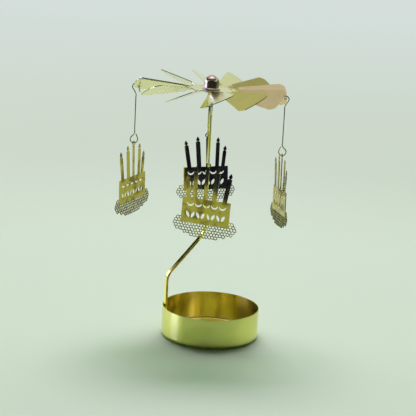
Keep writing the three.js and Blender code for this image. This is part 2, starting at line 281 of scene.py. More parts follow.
def boolean(target, tool, operation):
    """Joins tool to target or cuts it out, and removes tool."""
    step = target.modifiers.new("cut", "BOOLEAN")
    step.object = tool
    step.operation = operation
    step.solver = "MANIFOLD"
    depsgraph = bpy.context.evaluated_depsgraph_get()
    result = bpy.data.meshes.new_from_object(target.evaluated_get(depsgraph))
    target.modifiers.clear()
    target.data = result
    bpy.data.objects.remove(tool)


def placed(obj, matrix):
    obj.data.transform(matrix)
    return obj


# Shader nodes

def ranged(nodes, links, value, low, high, to_low, to_high, smoothed=True):
    """Maps value from one range to another and keeps it in there."""
    node = nodes.new("ShaderNodeMapRange")
    if smoothed:
        node.interpolation_type = "SMOOTHSTEP"
    node.inputs["From Min"].default_value = low
    node.inputs["From Max"].default_value = high
    node.inputs["To Min"].default_value = to_low
    node.inputs["To Max"].default_value = to_high
    links.new(value, node.inputs["Value"])
    return node.outputs["Result"]


def math_node(nodes, links, operation, *values):
    node = nodes.new("ShaderNodeMath")
    node.operation = operation
    for i, value in enumerate(values):
        if isinstance(value, (int, float)):
            node.inputs[i].default_value = value
        else:
            links.new(value, node.inputs[i])
    return node.outputs["Value"]


def noise(nodes, links, source, scale, detail):
    node = nodes.new("ShaderNodeTexNoise")
    node.inputs["Scale"].default_value = scale
    node.inputs["Detail"].default_value = detail
    links.new(source, node.inputs["Vector"])
    return node.outputs["Fac"]


def bump(nodes, links, height, depth):
    """A bump node for a relief of this depth in millimetres."""
    node = nodes.new("ShaderNodeBump")
    node.inputs["Strength"].default_value = 1.0
    node.inputs["Distance"].default_value = depth * MM
    links.new(height, node.inputs["Height"])
    return node


def mixed_colour(nodes, links, factor, one, other):
    node = nodes.new("ShaderNodeMix")
    node.data_type = "RGBA"
    links.new(factor, node.inputs[0])
    for i, value in ((6, one), (7, other)):
        if isinstance(value, tuple):
            node.inputs[i].default_value = (*value, 1.0)
        else:
            links.new(value, node.inputs[i])
    return node.outputs[2]


def mixed_shader(nodes, links, factor, one, other):
    node = nodes.new("ShaderNodeMixShader")
    links.new(factor, node.inputs[0])
    links.new(one.outputs[0], node.inputs[1])
    links.new(other.outputs[0], node.inputs[2])
    return node


def seen_rays(nodes, links, path):
    """1 for camera, glossy and transmission rays, and 0 for diffuse and shadow rays."""
    total = math_node(nodes, links, "ADD", path.outputs["Is Camera Ray"],
                      path.outputs["Is Glossy Ray"])
    total = math_node(nodes, links, "ADD", total, path.outputs["Is Transmission Ray"])
    return math_node(nodes, links, "MINIMUM", total, 1.0)


# Brass. Noise scales are in waves per metre.

TARNISH_SCALE = 160.0
MARKS_SCALE = 1400.0
SMUDGE_SCALE = 90.0
RIPPLE_SCALE = 110.0
QUARTER_TURN = 0.25
ROUND_Z = (0.06, 0.06, 1.0)
ALONG_Z = (1.0, 1.0, 0.1)


def brass(name, colour, shade, roughness, spread, ripple, scratch=0.0, stretch=(1.0, 1.0, 1.0),
          marking=0.15, turned_polish=0.0, tarnished=(0.3, 0.6)):
    """Polished brass. Tarnish varies the colour, polish marks vary roughness and the surface,
    and a slow ripple bends the reflections as thin rolled sheet does. Polish that runs round Z
    draws highlights out along Z. Ripple and scratch are depths in millimetres."""
    material = bpy.data.materials.new(name)
    material.use_nodes = True
    nodes, links = material.node_tree.nodes, material.node_tree.links
    shader = nodes["Principled BSDF"]
    shader.inputs["Metallic"].default_value = 1.0
    if turned_polish > 0:
        shader.inputs["Anisotropic"].default_value = turned_polish
        shader.inputs["Anisotropic Rotation"].default_value = QUARTER_TURN
        round_z = nodes.new("ShaderNodeTangent")
        round_z.direction_type = "RADIAL"
        round_z.axis = "Z"
        links.new(round_z.outputs["Tangent"], shader.inputs["Tangent"])
    where = nodes.new("ShaderNodeTexCoord").outputs["Object"]
    mapping = nodes.new("ShaderNodeMapping")
    mapping.inputs["Scale"].default_value = stretch
    links.new(where, mapping.inputs["Vector"])

    ramp = nodes.new("ShaderNodeValToRGB")
    for element, place, tint in zip(ramp.color_ramp.elements, tarnished, (shade, colour)):
        element.position = place
        element.color = (*tint, 1.0)
    links.new(noise(nodes, links, where, TARNISH_SCALE, 4.0), ramp.inputs["Fac"])
    links.new(ramp.outputs["Color"], shader.inputs["Base Color"])

    marks = noise(nodes, links, mapping.outputs["Vector"], MARKS_SCALE, 3.0)
    smudge = noise(nodes, links, where, SMUDGE_SCALE, 2.0)
    marked = ranged(nodes, links, marks, 0.35, 0.7, 1 - marking, 1 + marking, False)
    dulled = ranged(nodes, links, smudge, 0.35, 0.65, roughness - spread, roughness + spread, False)
    links.new(math_node(nodes, links, "MULTIPLY", marked, dulled), shader.inputs["Roughness"])

    relief = bump(nodes, links, noise(nodes, links, where, RIPPLE_SCALE, 1.0), ripple)
    if scratch > 0:
        fine = bump(nodes, links, marks, scratch)
        links.new(relief.outputs["Normal"], fine.inputs["Normal"])
        relief = fine
    links.new(relief.outputs["Normal"], shader.inputs["Normal"])
    return material


MATERIALS = {
    "cup": brass("cup_brass", (0.86, 0.87, 0.26), (0.80, 0.81, 0.22), roughness=0.20, spread=0.02,
                 ripple=0.008, scratch=0.0001, stretch=ROUND_Z, marking=0.05, turned_polish=0.7),
    # The cup's inside is a warmer gold copy of the cup brass: painted shade for the shaded hollow.
    "shaded_inner_cup": brass("shaded_inner_cup_brass", (0.94, 0.85, 0.28), (0.88, 0.78, 0.24), roughness=0.20,
                        spread=0.02, ripple=0.008, scratch=0.0001, stretch=ROUND_Z, marking=0.05,
                        turned_polish=0.8),
    "stem": brass("stem_brass", (0.86, 0.81, 0.16), (0.78, 0.72, 0.12), roughness=0.06, spread=0.02,
                  ripple=0.006, scratch=0.0003, stretch=ALONG_Z),
    "fan": brass("fan_brass", (0.86, 0.81, 0.40), (0.81, 0.76, 0.35), roughness=0.18, spread=0.02,
                 ripple=0.012),
    "cap": brass("cap_brass", (0.86, 0.76, 0.66), (0.78, 0.68, 0.58), roughness=0.05, spread=0.015,
                 ripple=0.004, scratch=0.0002),
    "wire": brass("wire_brass", (0.66, 0.66, 0.42), (0.5, 0.5, 0.3), roughness=0.22, spread=0.05,
                  ripple=0.01, scratch=0.001),
    "pendant": brass("pendant_brass", (0.58, 0.49, 0.09), (0.25, 0.19, 0.035), roughness=0.05,
                     spread=0.015, ripple=0.03, tarnished=(0.38, 0.50)),
    # The edging is a much darker copy of the pendant brass: painted shade on its thin strands.
    "lace": brass("shaded_lace_brass", (0.30, 0.28, 0.05), (0.12, 0.11, 0.03), roughness=0.12, spread=0.05,
                  ripple=0.03, scratch=0.001),
}


def finish_piece(obj, name, body, replaced):
    """Names a piece and ties it to its body and the CAD node it stands for."""
    obj.name = name
    obj.data.name = name
    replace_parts(obj, replaced)
    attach(obj, body)


def dress(obj, key):
    obj.data.materials.clear()
    obj.data.materials.append(MATERIALS[key])
    return obj


# Cup: drawn shell with a rolled-smooth rim

def make_cup():
    inner = CUP_RADIUS - CUP_SHEET
    centre = CUP_RADIUS - CUP_CORNER
    r = CUP_RIM_ROUND
    profile = [(0, 0), (centre * 0.5, 0), *arc(centre, CUP_CORNER, CUP_CORNER, -90, 0, 14)]
    profile += [(CUP_RADIUS, CUP_HEIGHT * 0.5)]
    profile += arc(CUP_RADIUS - r, CUP_HEIGHT - r, r, 0, 90, 4)
    profile += arc(inner + r, CUP_HEIGHT - r, r, 90, 180, 4)
    profile += [(inner, CUP_HEIGHT * 0.5)]
    profile += arc(centre, CUP_CORNER, CUP_CORNER - CUP_SHEET, 0, -90, 12)
    profile += [(centre * 0.5, CUP_SHEET), (0, CUP_SHEET)]
    cup = turned("cup_shell", profile, CUP_SIDES, CUP_CREASE, False)
    dress(cup, "cup")
    # Faces of the hollow take the warmer copy of the brass, painted shade.
    cup.data.materials.append(MATERIALS["shaded_inner_cup"])
    for face in cup.data.polygons:
        out = Vector((face.center.x, face.center.y, 0.0))
        raised = face.center.z > (CUP_SHEET - 0.05) * MM
        within = out.length < (CUP_RADIUS - CUP_SHEET * 0.8) * MM
        faces_in = face.normal.dot(out) < 0 or face.normal.z > 0.9
        if raised and within and faces_in:
            face.material_index = 1
    finish_piece(cup, "cup_shell", "base", "cup")


# Stem: creased strip on a path whose bends are rounded

def rounded_path(corners, bend, steps):
    """Points through (x, z) corners, with a curve from bend before each corner to bend after."""
    path = [corners[0]]
    for before, here, after in zip(corners, corners[1:], corners[2:]):
        a = here + (before - here).normalized() * bend
        b = here + (after - here).normalized() * bend
        for i in range(steps + 1):
            t = i / steps
            path.append(a * (1 - t) ** 2 + here * 2 * t * (1 - t) + b * t ** 2)
    path.append(corners[-1])
    return path


def make_stem():
    x_top = PIVOT[0]
    corners = [Vector((STEM_FOOT_X, STEM_FOOT_Z)), Vector((STEM_FOOT_X, CRANK_START)),
               Vector((x_top, CRANK_END)), Vector((x_top, PIVOT[2] - STEM_TAPER))]
    path = rounded_path(corners, CRANK_BEND, CRANK_STEPS)[:-1]
    path += [Vector((x_top, CRANK_END + rise)) for rise in STEM_RINGS]
    path += [corners[-1], Vector((x_top, PIVOT[2]))]
    widths = [STEM_WIDTH / 2] * (len(path) - 1) + [STEM_TIP_WIDTH / 2]
    rings = []
    thick = STEM_SHEET * math.hypot(1, STEM_CREASE / (STEM_WIDTH / 2))
    for i, (point, half) in enumerate(zip(path, widths)):
        ahead = path[min(i + 1, len(path) - 1)] - path[max(i - 1, 0)]
        along = ahead.normalized()
        across = Vector((along.y, -along.x))
        depth = STEM_CREASE * half * 2 / STEM_WIDTH

        def at(side, y):
            p = point + across * side * half
            return (p.x, y, p.y)

        front, back = -thick / 2, thick / 2
        shoulder = front - depth * (1 - STEM_RIDGE * 0.8)
        crest = front - depth * (1 - STEM_RIDGE * 0.35)
        rings.append([at(-1, front), at(-STEM_RIDGE, shoulder), at(0, crest),
                      at(STEM_RIDGE, shoulder), at(1, front), at(1, back), at(0, back - depth),
                      at(-1, back)])
    stem = from_rings("stem_strip", rings, STEM_SMOOTH)
    half, corner = STEM_TAB_WIDTH / 2, STEM_TAB_CORNER
    vertices, faces = prism(
        [(-half, 0), (half, 0),
         *arc(half - corner, STEM_TAB_HEIGHT - corner, corner, 0, 90, 4),
         *arc(corner - half, STEM_TAB_HEIGHT - corner, corner, 90, 180, 4)], STEM_SHEET)
    vertices = [(z + STEM_TAB_X, x, y + STEM_FOOT_Z) for x, y, z in vertices]
    boolean(stem, new_object("tab", vertices, faces), "UNION")
    smooth(stem, STEM_SMOOTH)
    finish_piece(dress(stem, "stem"), "stem_strip", "base", "stem")


# Fan, cap and eyelet, in the frame of the pivot

ROTOR = Matrix.Translation(Vector(PIVOT) * MM) @ Matrix.Rotation(radians(FAN_LEAN), 4, "Y")
HOLE_FALL = HOLE_PLACE * math.sin(radians(BLADE_LEAD)) * math.tan(radians(BLADE_TWIST))
HOLE_LEVEL = -FAN_DROP - HOLE_FALL


def blade(twist, azimuth):
    """Vertices and faces of one blade, twisted about its middle line past the hub."""
    tip_half = BLADE_TIP / 2
    flat_half = tip_half - BLADE_CORNER
    tip_edge = math.sqrt(FAN_RADIUS ** 2 - flat_half ** 2)
    corner_start = tip_edge - BLADE_CORNER
    root = HUB_RADIUS - BLADE_OVERLAP

    def half_at(place):
        share = (place - HUB_RADIUS) / (corner_start - HUB_RADIUS)
        return BLADE_ROOT / 2 * (1 - share) + tip_half * share

    rows = [(root, half_at(root), 0.0)]
    for i in range(TWIST_STEPS + 1):
        share = i / TWIST_STEPS
        place = HUB_RADIUS + TWIST_LENGTH * share
        turn = share * share * (3 - 2 * share)
        rows.append((place, half_at(place), twist * turn))
    for i in range(1, BLADE_STEPS):
        place = HUB_RADIUS + TWIST_LENGTH
        place += (corner_start - place) * i / BLADE_STEPS
        rows.append((place, half_at(place), twist))
    rows += [(p, h, twist) for p, h in arc(corner_start, flat_half, BLADE_CORNER, 90, 0, 10)]
    sides = [2 * i / BLADE_COLUMNS - 1 for i in range(BLADE_COLUMNS + 1)]
    rings = []
    for place, half, turn in rows:
        c, s = math.cos(radians(turn)), math.sin(radians(turn))
        at_tip = place > tip_edge - 1e-6

        def corner(side, lift):
            across = side * half
            bulge = math.sqrt(FAN_RADIUS ** 2 - across ** 2) - tip_edge if at_tip else 0.0
            return (place + bulge, across * c - lift * s, across * s + lift * c - FAN_DROP)

        lift = FAN_SHEET / 2
        rings.append([corner(x, -lift) for x in sides] + [corner(x, lift) for x in reversed(sides)])
    count = len(rings[0])
    faces = []
    for r in range(len(rings) - 1):
        for k in range(count):
            a, b = r * count + k, r * count + (k + 1) % count
            faces.append((a, b, b + count, a + count))
    for start in (0, (len(rings) - 1) * count):
        for k in range(BLADE_COLUMNS):
            faces.append((start + k, start + k + 1, start + count - 2 - k, start + count - 1 - k))
    ca, sa = math.cos(radians(azimuth)), math.sin(radians(azimuth))
    vertices = [(x * ca - y * sa, x * sa + y * ca, z) for ring in rings for x, y, z in ring]
    return vertices, faces


def make_fan():
    bore = CAP_NECK_RADIUS + SEAT_GAP
    top, bottom = -FAN_DROP + FAN_SHEET / 2, -FAN_DROP - FAN_SHEET / 2
    profile = [(bore, bottom), (HUB_RADIUS, bottom), (HUB_RADIUS, top), (bore, top)]
    fan = turned("fan_sheet", profile, FAN_SIDES, FAN_CREASE, True)
    parts = []
    for i in range(BLADES):
        twist = FLAT_TWIST if i == FLAT_BLADE else BLADE_TWIST
        parts.append(blade(twist, BLADE_LEAD + 360 * i / BLADES))
    boolean(fan, new_object("blades", *merged(parts)), "UNION")
    cutters = []
    for azimuth, _ in HANGERS.values():
        a = radians(azimuth)
        outline = [(HOLE_PLACE * math.cos(a) + x, HOLE_PLACE * math.sin(a) + y)
                   for x, y in arc(0, 0, HOLE_RADIUS, 0, 345, 23)]
        vertices, faces = prism(outline, HOLE_CUT)
        cutters.append(([(x, y, z + HOLE_LEVEL) for x, y, z in vertices], faces))
    boolean(fan, new_object("holes", *merged(cutters)), "DIFFERENCE")
    smooth(fan, FAN_CREASE)
    placed(fan, ROTOR)
    finish_piece(dress(fan, "fan"), "fan_sheet", "rotor", "fan")


def make_cap():
    crown = PIVOT_GAP + CAP_SHEET
    springing = crown - CAP_RADIUS
    bottom = -FAN_DROP + FAN_SHEET / 2 + SEAT_GAP
    top = bottom + CAP_SHEET
    neck = bottom - CAP_NECK_LENGTH
    inner = CAP_NECK_RADIUS - CAP_SHEET
    wall = CAP_RADIUS - CAP_SHEET
    flange = CAP_FLANGE_RADIUS
    edge = CAP_SHEET / 2
    fillet = CAP_FILLET
    profile = [*arc(0, springing, wall, 90, 0, 14), (wall, top + 0.1),
               (inner + 0.2, top - 0.05), (inner, top - 0.25), (inner, neck),
               (CAP_NECK_RADIUS, neck), (CAP_NECK_RADIUS, bottom), (flange - edge, bottom),
               *arc(flange - edge, bottom + edge, edge, -90, 90, 8)[1:],
               *arc(CAP_RADIUS + fillet, top + fillet, fillet, 270, 180, 5),
               *arc(0, springing, CAP_RADIUS, 0, 90, 20)]
    profile = [(r if r > 1e-4 else 0.0, h) for r, h in profile]
    cap = turned("pivot_cap_dome", profile, CAP_SIDES, CAP_CREASE, False)
    placed(cap, ROTOR)
    finish_piece(dress(cap, "cap"), "pivot_cap_dome", "rotor", "pivot_cap")
    bore = CAP_NECK_RADIUS + SEAT_GAP
    eye_top = -FAN_DROP - FAN_SHEET / 2 - SEAT_GAP
    eye_bottom = eye_top - EYELET_THICKNESS
    r = EYELET_ROUND
    ring = [(bore + EYELET_BEVEL, eye_bottom),
            *arc(EYELET_RADIUS - r, eye_bottom + r, r, -90, 0, 6),
            (EYELET_RADIUS, eye_top), (bore, eye_top), (bore, eye_bottom + EYELET_BEVEL)]
    eyelet = turned("cap_eyelet_ring", ring, CAP_SIDES, CAP_CREASE, True)
    placed(eyelet, ROTOR)
    finish_piece(dress(eyelet, "cap"), "cap_eyelet_ring", "rotor", "cap_eyelet")


# Hangers, in the frame of the hook hole

HOOK_X = HOOK_RADIUS
BLADE_TOP = FAN_SHEET / 2 / math.cos(radians(BLADE_TWIST))
WEB_HALF = HOOK_WEB / 2
HOOK_Z = BLADE_TOP + HOOK_GAP - math.sqrt((HOOK_RADIUS - WIRE_RADIUS) ** 2 - WEB_HALF ** 2)
EYE_Z = -HANG_DROP + RING_SLACK + EYE_RADIUS


def spline(points, per_span):
    """Centripetal Catmull-Rom curve through points."""
    padded = [points[0] * 2 - points[1], *points, points[-1] * 2 - points[-2]]
    found = []
    for p0, p1, p2, p3 in zip(padded, padded[1:], padded[2:], padded[3:]):
        d0, d1, d2 = (max((b - a).length ** 0.5, 1e-4) for a, b in ((p0, p1), (p1, p2), (p2, p3)))
        m1 = ((p1 - p0) / d0 - (p2 - p0) / (d0 + d1) + (p2 - p1) / d1) * d1
        m2 = ((p2 - p1) / d1 - (p3 - p1) / (d1 + d2) + (p3 - p2) / d2) * d1
        for i in range(per_span):
            t = i / per_span
            found.append(p1 + m1 * t + (p2 * 3 - p1 * 3 - m1 * 2 - m2) * t ** 2
                         + (p1 * 2 - p2 * 2 + m1 + m2) * t ** 3)
    found.append(points[-1])
    return found


def hanger_mesh():
    """Wire from the hook's end round to the open eye's end."""
    shank = HOOK_X - SHANK_IN
    neck = HOOK_Z - HOOK_NECK_DROP
    eye_neck = EYE_Z + EYE_NECK_RISE
    route = [(HOOK_X - HOOK_END_IN, HOOK_Z - HOOK_END_DROP),
             *arc(HOOK_X, HOOK_Z, HOOK_RADIUS, 195, -15, 8),
             (shank, neck), (shank, neck - HOOK_RADIUS), (shank, (neck + eye_neck) / 2),
             (shank, eye_neck + HOOK_RADIUS), (shank, eye_neck),
             *arc(HOOK_X, EYE_Z, EYE_RADIUS, 25, -200, 9),
             (HOOK_X - EYE_RADIUS / 2, EYE_Z + EYE_END_RISE)]
    path = spline([Vector(p) for p in route], 6)
    rings = []
    for i, point in enumerate(path):
        along = (path[min(i + 1, len(path) - 1)] - path[max(i - 1, 0)]).normalized()
        across = Vector((along.y, -along.x))
        slices = [(1.0, 0.0)]
        if i == 0:
            slices = [(scale, -offset) for scale, offset in reversed(WIRE_END)]
        elif i == len(path) - 1:
            slices = WIRE_END
        for scale, offset in slices:
            ring = []
            for k in range(WIRE_SIDES):
                a = 2 * math.pi * k / WIRE_SIDES
                p = point + along * offset + across * WIRE_RADIUS * scale * math.cos(a)
                ring.append((p.x, WIRE_RADIUS * scale * math.sin(a), p.y))
            rings.append(ring)
    return from_rings("hanger_wire", rings, WIRE_CREASE)


# Pendant, drawn in X and Y from its ring's centre and then stood up

SLAB_TOP = -RING_DROP
SLAB_BOTTOM = SLAB_TOP - SLAB_HEIGHT
LACE_MIDDLE = SLAB_BOTTOM - LACE_DROP


def candle_outline(width, height):
    """Outline of a candle with its flame, on the slab's top edge."""
    shoulder = height - FLAME_LENGTH
    w, neck, flame = width / 2, FLAME_NECK / 2, FLAME_WIDTH / 2
    right = [(w, -0.5), (w, shoulder - 0.3), (w - 0.12, shoulder - 0.08), (w - 0.3, shoulder),
             (neck, shoulder + 0.02), (neck, shoulder + 0.25)]
    for i in range(1, 9):
        t = i / 9
        bulge = math.sin(math.pi * t ** 0.62) ** 0.9
        right.append((neck * (1 - t) + (flame - neck * 0.4) * bulge,
                      shoulder + 0.25 + (FLAME_LENGTH - 0.25) * t))
    left = [(-x, y) for x, y in reversed(right)]
    return [*right, (0, height), *left]


def lace_cells():
    """Centres of the edging's cells, by row and column: inside the oval and off the slab."""
    found = []
    for row in range(-6, 7):
        for column in range(-12, 13):
            x = (column + (0 if row % 2 == 0 else 0.5)) * LACE_PITCH
            y = row * LACE_PITCH * math.sin(math.pi / 3)
            inside = math.hypot(x / (LACE_LENGTH / 2 - LACE_PITCH / 2),
                                y / (LACE_HEIGHT / 2 - LACE_PITCH / 2)) < 1
            if inside and (y < LACE_DROP or abs(x) > SLAB_WIDTH / 2 - LACE_MARGIN):
                found.append((x, y))
    return found


def lace_net():
    """The edging: thin strands round uneven six-sided cells. Neighbours share their corners."""
    chance = random.Random(7)
    corners, places, loops = {}, [], []
    reach = LACE_PITCH / math.sqrt(3)
    for x, y in lace_cells():
        loop = []
        for dx, dy in arc(0, 0, reach, 30, 330, 5):
            key = (round((x + dx) / LACE_STRAND), round((y + dy) / LACE_STRAND))
            if key not in corners:
                corners[key] = len(places)
                places.append(Vector((x + dx + chance.uniform(-LACE_UNEVEN, LACE_UNEVEN),
                                      y + dy + chance.uniform(-LACE_UNEVEN, LACE_UNEVEN))))
            loop.append(corners[key])
        loops.append(loop)
    middles = [sum((places[i] for i in loop), Vector((0, 0))) / 6 for loop in loops]
    edges, around = {}, {}
    for cell, loop in enumerate(loops):
        for i, j in zip(loop, loop[1:] + loop[:1]):
            edges.setdefault(frozenset((i, j)), []).append((i, j))
            around.setdefault(i, []).append(middles[cell])
    flat = list(places)
    quads = []
    inset = 1 - LACE_STRAND / LACE_PITCH
    for loop, middle in zip(loops, middles):
        start = len(flat)
        flat += [middle + (places[i] - middle) * inset for i in loop]
        for k in range(6):
            n = (k + 1) % 6
            quads.append((loop[k], loop[n], start + n, start + k))
    rim = {}
    for pair in edges.values():
        if len(pair) > 1:
            continue
        for i in pair[0]:
            if i not in rim:
                away = places[i] - sum(around[i], Vector((0, 0))) / len(around[i])
                rim[i] = len(flat)
                flat.append(places[i] + away.normalized() * LACE_STRAND / 2)
        i, j = pair[0]
        quads.append((j, i, rim[i], rim[j]))
    count = len(flat)
    shift = Vector((-SLAB_SHIFT, LACE_MIDDLE))
    vertices = [(*(point + shift), z) for z in (-PENDANT_SHEET / 2, PENDANT_SHEET / 2)
                for point in flat]
    faces = [tuple(i + count for i in quad) for quad in quads]
    faces += [tuple(reversed(quad)) for quad in quads]
    once = {}
    for quad in quads:
        for i, j in zip(quad, quad[1:] + quad[:1]):
            if (j, i) in once:
                del once[(j, i)]
            else:
                once[(i, j)] = True
    faces += [(i, j, j + count, i + count) for i, j in once]
    return vertices, faces


def swag(cx, cy):
    """Outline of a hanging crescent."""
    lower = [(cx + x * SWAG_HALF, cy + y * SWAG_DROP) for x, y in arc(0, 0, 1, 180, 360, 16)]
    upper = [(cx + x * SWAG_HALF, cy + y * SWAG_DROP + SWAG_THICKNESS)
             for x, y in arc(0, 0, 1, 330, 210, 12)]
    return [*lower, *upper]


def leaf(cx, cy, lean):
    """Outline of a pointed leaf."""
    c, s = math.cos(radians(lean)), math.sin(radians(lean))
    right = [(LEAF_HALF * math.sin(math.pi * i / 10) ** 0.8, LEAF_LENGTH * (0.5 - i / 10))
             for i in range(11)]
    shape = right + [(-x, y) for x, y in reversed(right[1:-1])]
    return [(cx + x * c - y * s, cy + x * s + y * c) for x, y in reversed(shape)]


def pendant_mesh():
    """Slab, candles, ring and edging in one sheet, with the slab's pattern cut out."""
    left = -SLAB_SHIFT - SLAB_WIDTH / 2
    right = left + SLAB_WIDTH
    pendant = new_object("pendant_sheet", *prism(
        [(left, SLAB_BOTTOM), (right, SLAB_BOTTOM), (right, SLAB_TOP), (left, SLAB_TOP)],
        PENDANT_SHEET))
    parts = []
    for place, height, width, lean in CANDLES:
        c, s = math.cos(radians(lean)), math.sin(radians(lean))
        outline = [(x * c - y * s + SLAB_WIDTH * place - SLAB_SHIFT, x * s + y * c + SLAB_TOP)
                   for x, y in candle_outline(CANDLE_WIDTH * width, RING_DROP * height)]
        parts.append(prism(outline, PENDANT_SHEET))
    boolean(pendant, new_object("candles", *merged(parts)), "UNION")
    post = CANDLE_WIDTH * 0.35
    post_outline = [(-post, SLAB_TOP - 0.5), (post, SLAB_TOP - 0.5), (post, -1.7), (0.35, -0.7),
                    (-0.35, -0.7), (-post, -1.7)]
    boolean(pendant, new_object("post", *prism(post_outline, PENDANT_SHEET)), "UNION")
    ring = arc(0, 0, RING_RADIUS, 0, 352.5, 47)
    boolean(pendant, new_object("ring", *prism(ring, PENDANT_SHEET)), "UNION")
    boolean(pendant, new_object("lace", *lace_net()), "UNION")
    cuts = [prism(arc(0, 0, RING_HOLE, 0, 345, 23), CUT_DEPTH)]
    span = SLAB_WIDTH * CUT_SPAN
    for i in range(SWAGS):
        x = span * ((i + 0.5) / SWAGS - 0.5) - SLAB_SHIFT
        cuts.append(prism(swag(x, SLAB_TOP - SLAB_HEIGHT * SWAG_LEVEL), CUT_DEPTH))
    for i in range(LEAVES):
        x = span * ((i + 0.5) / LEAVES - 0.5) - SLAB_SHIFT
        lean = LEAF_LEAN if i % 2 == 0 else -LEAF_LEAN
        cuts.append(prism(leaf(x, SLAB_TOP - SLAB_HEIGHT * LEAF_LEVEL, lean), CUT_DEPTH))
    boolean(pendant, new_object("cuts", *merged(cuts)), "DIFFERENCE")
    turn = Matrix.Rotation(radians(90), 4, "X") @ Matrix.Rotation(radians(PENDANT_LEAN), 4, "Z")
    return placed(pendant, turn)


def make_hangers():
    wire = dress(hanger_mesh(), "wire")
    sheet = dress(pendant_mesh(), "pendant")
    # Faces of the edging take the darker copy of the brass, painted shade.
    sheet.data.materials.append(MATERIALS["lace"])
    for face in sheet.data.polygons:
        below = face.center.z < (SLAB_BOTTOM - 0.05) * MM
        beside = abs(face.center.x + SLAB_SHIFT * MM) > (SLAB_WIDTH / 2 + 0.05) * MM
        if below or beside:
            face.material_index = 1
    for i, (name, (azimuth, turn)) in enumerate(HANGERS.items()):
        hole = Matrix.Rotation(radians(azimuth), 4, "Z") @ Vector((HOLE_PLACE, 0, HOLE_LEVEL)) * MM
        hung = Matrix.Translation(ROTOR @ hole) @ Matrix.Rotation(radians(azimuth), 4, "Z")
        own_wire = wire if i == 0 else wire.copy()
        own_sheet = sheet if i == 0 else sheet.copy()
        if i > 0:
            bpy.context.scene.collection.objects.link(own_wire)
            bpy.context.scene.collection.objects.link(own_sheet)
        own_wire.matrix_world = hung
        drop = Matrix.Translation(Vector((HOOK_X, 0, -HANG_DROP)) * MM)
        own_sheet.matrix_world = hung @ drop @ Matrix.Rotation(radians(turn - 90), 4, "Z")
        for obj, kind, slot in ((own_wire, "hanger", "wire_brass"),
                                (own_sheet, "pendant", "pendant_brass")):
            if "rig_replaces" in obj:
                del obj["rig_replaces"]
            obj.name = f"{kind}_{name}_fine"
            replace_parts(obj, f"{kind}_{name}")
            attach(obj, f"{kind}_{name}")


make_cup()
make_stem()
make_fan()
make_cap()
make_hangers()


# Stage, in metres: a pale paper bowl all round, cards that only reflections see, one soft lamp

PAPER_COLOUR = (0.61, 0.69, 0.585)
PAPER_ROUGHNESS = 0.22
PAPER_GLOSS = 0.35
PAPER_FLAT = 1.2
PAPER_BEND = 0.5
PAPER_TOP = 1.05
PAPER_SIDES = 72
NEAR_PAPER = 0.16
FAR_PAPER = 0.42
# Colours of the far paper's glow, painted light by place: lighter on the left, darker on the right,
# paler and bluer at the back
PALE_LEFT = (0.63, 0.70, 0.60)
PALE_RIGHT = (0.58, 0.665, 0.55)
PALE_BACK = (0.66, 0.73, 0.71)

# What reflections see of the world, by the sine of the height above the horizon
SKY = [(0.0, (0.55, 0.62, 0.5)), (0.42, (0.5, 0.56, 0.42)), (0.55, (0.50, 0.48, 0.27)),
       (0.70, (0.32, 0.32, 0.17)), (0.79, (0.42, 0.36, 0.38)), (0.88, (0.6, 0.5, 0.6)),
       (0.95, (1.0, 0.9, 1.0)), (1.0, (1.3, 1.15, 1.3))]
SKY_OVERHEAD = 0.72
SKY_IN_FRONT = 0.22
AMBIENT = (0.68, 0.97, 0.61)
AMBIENT_STRENGTH = 3.0

DARK = (0.02, 0.02, 0.02)
DARK_BLUE = (0.016, 0.02, 0.14)
GREY = (0.13, 0.14, 0.11)
WINDOW_BACK = (1.30, 1.30, 1.43)
WINDOW_LEFT = (2.444, 2.34, 5.46)
CARD_LEVEL = 0.004
RING_STEPS = 36
FRONT_CARD = [(-1.5, -0.95, 0.0), (1.5, -0.95, 0.0), (1.5, -0.95, 0.75), (-1.5, -0.95, 0.75)]
# Cards that lie on the floor: name, (x, y) corners, colour
FLOOR_CARDS = [
    ("dark_card_far", [(-0.42, -0.95), (0.27, -0.95), (0.27, -0.58), (-0.42, -0.58)], DARK),
    ("dark_card_near", [(-0.42, -0.58), (0.27, -0.58), (0.27, -0.13), (0.075, -0.17),
                        (0.06, -0.255), (-0.09, -0.258), (-0.117, -0.269), (-0.152, -0.304),
                        (-0.42, -0.45)], DARK_BLUE),
    ("dark_card_right", [(0.27, -0.95), (0.7, -0.95), (0.7, -0.1), (0.27, -0.02)], DARK),
]
# Cards bent round Z: name, azimuths from and to, two (radius, height) edges, colour
BENT_CARDS = [
    ("dark_band", 118, 422, (0.6, CARD_LEVEL), (1.15, CARD_LEVEL), DARK),
    ("dark_wall", 200, 345, (1.15, CARD_LEVEL), (1.15, 0.5), DARK),
    ("dark_wall_left", 125, 205, (1.15, 0.49), (1.15, 1.0), DARK),
    ("grey_wall", 345, 422, (1.15, CARD_LEVEL), (1.15, 0.5), GREY),
]
# Upright bright cards: name, corners, colour
WINDOW_CARDS = [
    ("window_card_back", [(-0.79, 0.62, 0.12), (-0.97, 0.25, 0.12), (-0.97, 0.25, 0.55),
                          (-0.79, 0.62, 0.55)], WINDOW_BACK),
    ("window_card_left", [(-1.0, -0.17, 0.05), (-1.0, 0.25, 0.05), (-1.0, 0.25, 0.45),
                          (-1.0, -0.17, 0.45)], WINDOW_LEFT),
]

LAMP_PLACE = (-0.02, 0.42, 1.18)
LAMP_SIZE = (0.72, 0.34)
LAMP_POWER = 11.2
LAMP_COLOUR = (1.03, 0.85, 1.10)


def stage_mesh(name, vertices, faces, material):
    mesh = bpy.data.meshes.new(name)
    mesh.from_pydata(vertices, [], faces)
    mesh.polygons.foreach_set("use_smooth", [True] * len(mesh.polygons))
    mesh.materials.append(material)
    obj = bpy.data.objects.new(name, mesh)
    bpy.context.scene.collection.objects.link(obj)
    return obj


